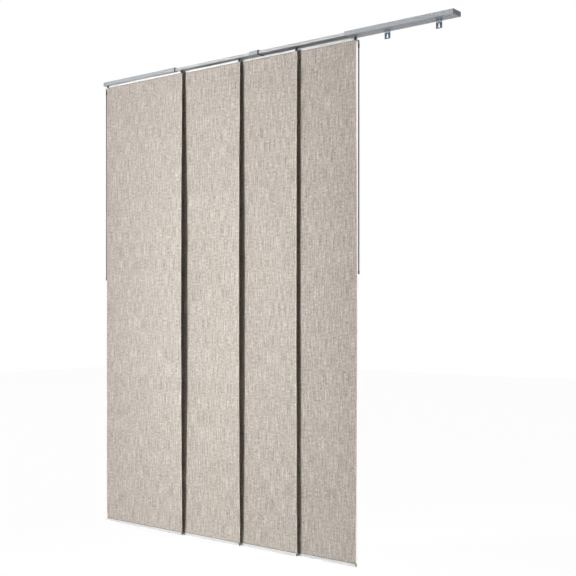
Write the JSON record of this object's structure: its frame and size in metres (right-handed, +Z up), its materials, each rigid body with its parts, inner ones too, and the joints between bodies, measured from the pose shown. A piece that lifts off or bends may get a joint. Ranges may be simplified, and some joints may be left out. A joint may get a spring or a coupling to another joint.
{
  "type": "panel track blind",
  "caption": "Sliding panel blind: wide linen-look fabric panels hang overlapping from carriers in an extendable multi-channel wall track, drawn by hand wands.",
  "frame": {"origin": "on the wall, at the middle of the drawn-out track, level with the underside of the rails", "axes": "+X along the track to the right as seen from the room, +Y into the wall, +Z up"},
  "size_m": [2.196, 0.0711, 2.4674],
  "materials": {
    "panel_fabric": "slubby linen-look weave, matte",
    "hook_tape": "hook tape, fine bristle",
    "white_plastic": "white extruded plastic, satin",
    "black_plastic": "black moulded plastic",
    "bar_aluminium": "pale anodised, satin",
    "grey_plastic": "grey moulded plastic",
    "rail_aluminium": "silver anodised, drawn lines along the length",
    "inner_aluminium": "silver anodised, lighter, drawn lines along the length",
    "wand_plastic": "grey plastic rod, satin",
    "dark_metal": "dark coated steel",
    "zinc_steel": "bright zinc plate, bluish"
  },
  "bodies": {
    "left_section": {"left_rail": "rail_aluminium", "left_end_cap": "grey_plastic", "left_inner_bracket": "zinc_steel", "left_outer_bracket": "zinc_steel", "left_bracket_fixings": "zinc_steel"},
    "centre_section": {"centre_sleeve": "rail_aluminium", "inner_track_1": "inner_aluminium", "inner_track_2": "inner_aluminium", "inner_track_3": "inner_aluminium", "inner_track_4": "inner_aluminium", "centre_bracket": "zinc_steel", "centre_bracket_fixings": "zinc_steel"},
    "right_section": {"right_rail": "rail_aluminium", "right_end_cap": "grey_plastic", "right_inner_bracket": "zinc_steel", "right_outer_bracket": "zinc_steel", "right_bracket_fixings": "zinc_steel"},
    "panel_1": {"carrier_1": "white_plastic", "glider_1_left": "black_plastic", "glider_1_right": "black_plastic", "hook_tape_1": "hook_tape", "fabric_1": "panel_fabric", "bottom_bar_1": "bar_aluminium", "bar_cap_1_left": "grey_plastic", "bar_cap_1_right": "grey_plastic", "left_wand_bracket": "white_plastic"},
    "panel_2": {"carrier_2": "white_plastic", "glider_2_left": "black_plastic", "glider_2_right": "black_plastic", "hook_tape_2": "hook_tape", "fabric_2": "panel_fabric", "bottom_bar_2": "bar_aluminium", "bar_cap_2_left": "grey_plastic", "bar_cap_2_right": "grey_plastic"},
    "panel_3": {"carrier_3": "white_plastic", "glider_3_left": "black_plastic", "glider_3_right": "black_plastic", "hook_tape_3": "hook_tape", "fabric_3": "panel_fabric", "bottom_bar_3": "bar_aluminium", "bar_cap_3_left": "grey_plastic", "bar_cap_3_right": "grey_plastic"},
    "panel_4": {"carrier_4": "white_plastic", "glider_4_left": "black_plastic", "glider_4_right": "black_plastic", "hook_tape_4": "hook_tape", "fabric_4": "panel_fabric", "bottom_bar_4": "bar_aluminium", "bar_cap_4_left": "grey_plastic", "bar_cap_4_right": "grey_plastic", "right_wand_bracket": "white_plastic"},
    "left_wand_link": {"left_wand_shackle": "dark_metal"},
    "left_wand": {"left_wand_ferrule": "dark_metal", "left_wand_rod": "wand_plastic", "left_wand_tip": "wand_plastic"},
    "right_wand_link": {"right_wand_shackle": "dark_metal"},
    "right_wand": {"right_wand_ferrule": "dark_metal", "right_wand_rod": "wand_plastic", "right_wand_tip": "wand_plastic"}
  },
  "joints": [
    {"name": "centre_telescope", "type": "slide", "parent": "left_section", "child": "centre_section", "axis": [1, 0, 0], "range_m": [-0.5, 0]},
    {"name": "right_telescope", "type": "slide", "parent": "centre_section", "child": "right_section", "axis": [1, 0, 0], "range_m": [-0.5, 0]},
    {"name": "panel_1_slide", "type": "slide", "parent": "left_section", "child": "panel_1", "axis": [1, 0, 0], "range_m": [0, 1.562]},
    {"name": "panel_2_slide", "type": "slide", "parent": "left_section", "child": "panel_2", "axis": [1, 0, 0], "range_m": [-0.38566, 1.17634]},
    {"name": "panel_3_slide", "type": "slide", "parent": "left_section", "child": "panel_3", "axis": [1, 0, 0], "range_m": [-0.73477, 0.82724]},
    {"name": "panel_4_slide", "type": "slide", "parent": "left_section", "child": "panel_4", "axis": [1, 0, 0], "range_m": [-1.06528, 0.49672]},
    {"name": "left_wand_lean", "type": "hinge", "parent": "panel_1", "child": "left_wand_link", "pos_m": [-1.0825, -0.0622, -0.018], "axis": [0, 1, 0], "range_deg": [0, 60]},
    {"name": "left_wand_swing", "type": "hinge", "parent": "left_wand_link", "child": "left_wand", "pos_m": [-1.0825, -0.0622, -0.0279], "axis": [-1, 0, 0], "range_deg": [0, 60]},
    {"name": "right_wand_lean", "type": "hinge", "parent": "panel_4", "child": "right_wand_link", "pos_m": [0.58578, -0.0202, -0.018], "axis": [0, -1, 0], "range_deg": [0, 60]},
    {"name": "right_wand_swing", "type": "hinge", "parent": "right_wand_link", "child": "right_wand", "pos_m": [0.58578, -0.0202, -0.0279], "axis": [-1, 0, 0], "range_deg": [0, 60]}
  ]
}
